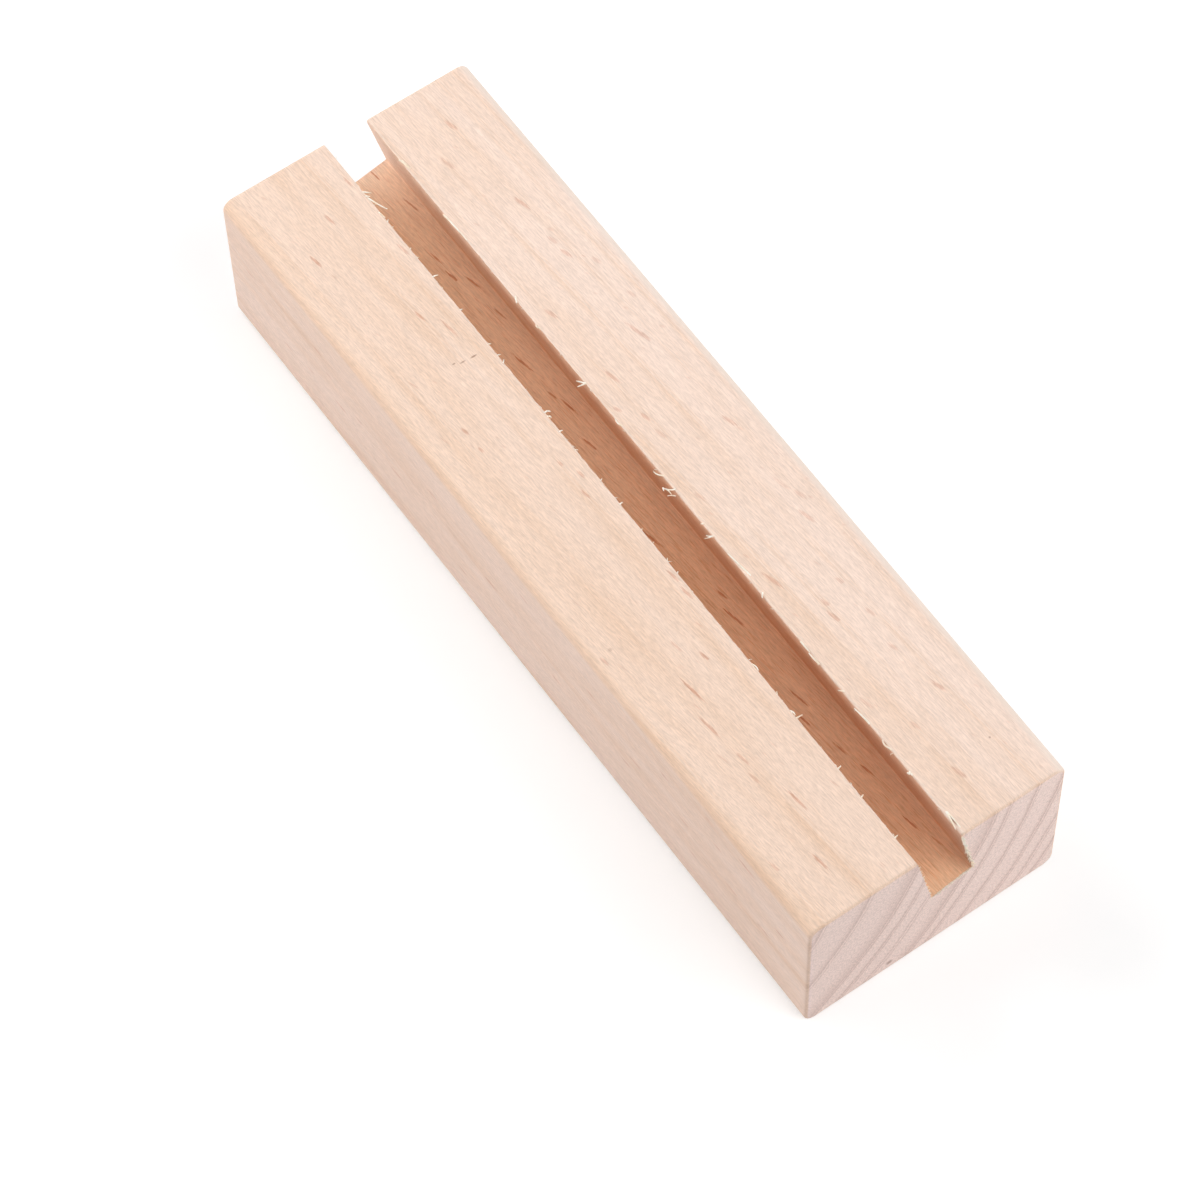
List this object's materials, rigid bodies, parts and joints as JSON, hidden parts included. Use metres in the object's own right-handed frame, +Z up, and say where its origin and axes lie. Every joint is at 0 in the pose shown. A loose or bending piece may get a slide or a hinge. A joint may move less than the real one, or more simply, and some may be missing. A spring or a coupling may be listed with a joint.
{
  "type": "photo block holder",
  "caption": "Solid beech bar with rounded long edges and a leaning slot along its top that holds a photo print or card upright.",
  "frame": {"origin": "middle of the underside, on the surface that the block stands on", "axes": "+X along the block's length and its grain, +Z up, -Y to the front, so that a card in the slot leans back towards +Y"},
  "size_m": [0.12, 0.036, 0.024],
  "materials": {
    "beech": "bare sanded beech, no lacquer, with growth rings on the ends and short ray flecks along the grain"
  },
  "bodies": {
    "root": {"beech_block": "beech"}
  },
  "joints": []
}
